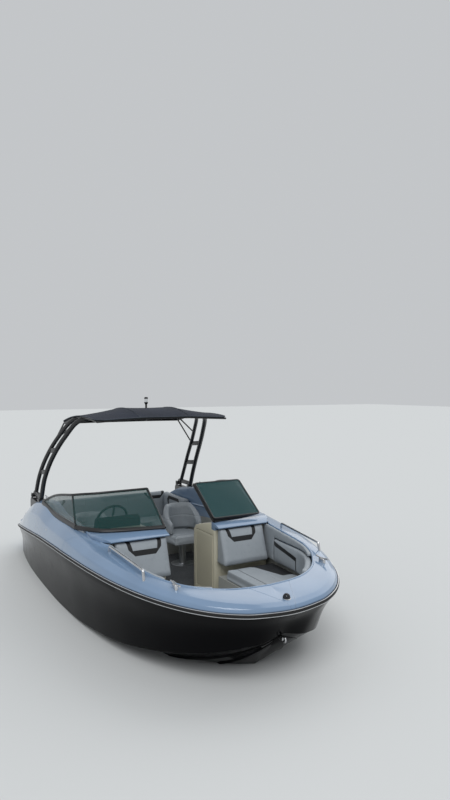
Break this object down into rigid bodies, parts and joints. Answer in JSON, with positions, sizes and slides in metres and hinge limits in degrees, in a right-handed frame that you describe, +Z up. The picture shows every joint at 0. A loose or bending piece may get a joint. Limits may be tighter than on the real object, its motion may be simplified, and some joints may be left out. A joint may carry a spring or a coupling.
{
  "type": "open bow jet sports boat",
  "caption": "Open bow sports boat with jet drive, black hull, blue deck, folding tow tower with sun canopy, walkthrough windscreen and wrap round seats.",
  "frame": {"origin": "amidships on the centreline at the waterline of the empty boat, on the mount waterline", "axes": "+X to the bow, +Y to port, +Z up"},
  "size_m": [5.839, 2.466, 2.643],
  "materials": {
    "hull_gelcoat": "black gelcoat, polished",
    "deck_gelcoat": "steel blue gelcoat, polished",
    "liner_gelcoat": "light grey gelcoat, satin",
    "console_gelcoat": "cream gelcoat, satin",
    "rub_rail": "black extruded rubber",
    "upholstery": "light grey marine vinyl with black panels",
    "carpet": "dark snap-in carpet",
    "canvas": "navy acrylic canvas",
    "black_metal": "black powder coat, satin",
    "tinted_glass": "green tinted safety glass",
    "stainless": "polished stainless steel",
    "aluminium": "satin anodised",
    "pump_metal": "grey painted cast aluminium",
    "black_plastic": "black grained plastic",
    "engine": "dark grey engine paint",
    "lamp": "clear lamp lens on a black base"
  },
  "bodies": {
    "hull": {"hull": "hull_gelcoat", "deck": "deck_gelcoat", "rub_rail": "rub_rail", "liner": "liner_gelcoat", "floor_mat": "carpet", "engine": "engine", "bow_cushions": "upholstery", "bow_backrests": "upholstery", "bow_bolsters": "upholstery", "console_port": "console_gelcoat", "console_starboard": "console_gelcoat", "cowls": "deck_gelcoat", "dash_pod": "black_plastic", "throttle": "black_plastic", "seat_pedestals": "aluminium", "bench_base": "liner_gelcoat", "bench_cushions": "upholstery", "bench_backrest": "upholstery", "bench_bolsters": "upholstery", "windscreen_frame": "black_metal", "windscreen_glass": "tinted_glass", "tower_feet": "black_metal", "swim_platform": "deck_gelcoat", "platform_mat": "carpet", "jet_housing": "pump_metal", "grab_rails": "stainless", "cleats": "stainless", "tow_eyes": "stainless", "bow_light": "lamp", "intake_grate": "pump_metal"},
    "windscreen_gate": {"gate_frame": "black_metal", "gate_glass": "tinted_glass"},
    "tow_tower": {"tower": "black_metal", "canopy_frame": "black_metal", "canopy": "canvas", "nav_light": "lamp"},
    "engine_hatch": {"engine_hatch": "deck_gelcoat", "sun_pad": "upholstery"},
    "console_door": {"console_door": "console_gelcoat"},
    "glovebox_lid": {"glovebox_lid": "console_gelcoat"},
    "boarding_ladder": {"boarding_ladder": "stainless"},
    "helm_seat": {"helm_seat": "upholstery"},
    "companion_seat": {"companion_seat": "upholstery"},
    "steering_wheel": {"steering_wheel": "black_plastic"},
    "steering_nozzle": {"steering_nozzle": "pump_metal"},
    "reverse_bucket": {"reverse_bucket": "pump_metal"},
    "impeller": {"impeller": "stainless"}
  },
  "joints": [
    {"name": "gate_hinge", "type": "hinge", "parent": "hull", "child": "windscreen_gate", "pos_m": [1.02678, 0.282, 0.9862], "axis": [0.8215, 0, -0.5702], "range_deg": [0, 180]},
    {"name": "tower_fold", "type": "hinge", "parent": "hull", "child": "tow_tower", "pos_m": [-1.44, 0, 0.975], "axis": [0, -1, 0], "range_deg": [0, 100]},
    {"name": "hatch_hinge", "type": "hinge", "parent": "hull", "child": "engine_hatch", "pos_m": [-1.767, 0, 0.715], "axis": [0, 1, 0], "range_deg": [0, 70]},
    {"name": "door_hinge", "type": "hinge", "parent": "hull", "child": "console_door", "pos_m": [0.996, 0.279, 0.492], "axis": [0, 0, 1], "range_deg": [0, 100]},
    {"name": "glovebox_hinge", "type": "hinge", "parent": "hull", "child": "glovebox_lid", "pos_m": [0.559, 0.726, 0.568], "axis": [0, -1, 0], "range_deg": [0, 85]},
    {"name": "ladder_hinge", "type": "hinge", "parent": "hull", "child": "boarding_ladder", "pos_m": [-2.965, -0.46, 0.39], "axis": [0, -1, 0], "range_deg": [0, 255]},
    {"name": "helm_seat_swivel", "type": "hinge", "parent": "hull", "child": "helm_seat", "pos_m": [-0.4, -0.6, 0.4], "axis": [0, 0, 1], "range_deg": [-180, 180]},
    {"name": "companion_seat_swivel", "type": "hinge", "parent": "hull", "child": "companion_seat", "pos_m": [-0.4, 0.6, 0.4], "axis": [0, 0, 1], "range_deg": [-180, 180]},
    {"name": "steering", "type": "hinge", "parent": "hull", "child": "steering_wheel", "pos_m": [0.1, -0.52, 0.9], "axis": [0.9063, 0, -0.4226], "range_deg": [-270, 270]},
    {"name": "nozzle_steer", "type": "hinge", "parent": "hull", "child": "steering_nozzle", "pos_m": [-2.725, 0, -0.2], "axis": [0, 0, 1], "range_deg": [-24.5, 24.5]},
    {"name": "bucket_hinge", "type": "hinge", "parent": "hull", "child": "reverse_bucket", "pos_m": [-2.74, 0, -0.2], "axis": [0, -1, 0], "range_deg": [0, 75]},
    {"name": "impeller_spin", "type": "hinge", "parent": "hull", "child": "impeller", "pos_m": [-2.6, 0, -0.2], "axis": [1, 0, 0], "continuous": true}
  ],
  "couplings": [
    {"joint": "nozzle_steer", "follows": "steering", "ratio": 0.09}
  ]
}
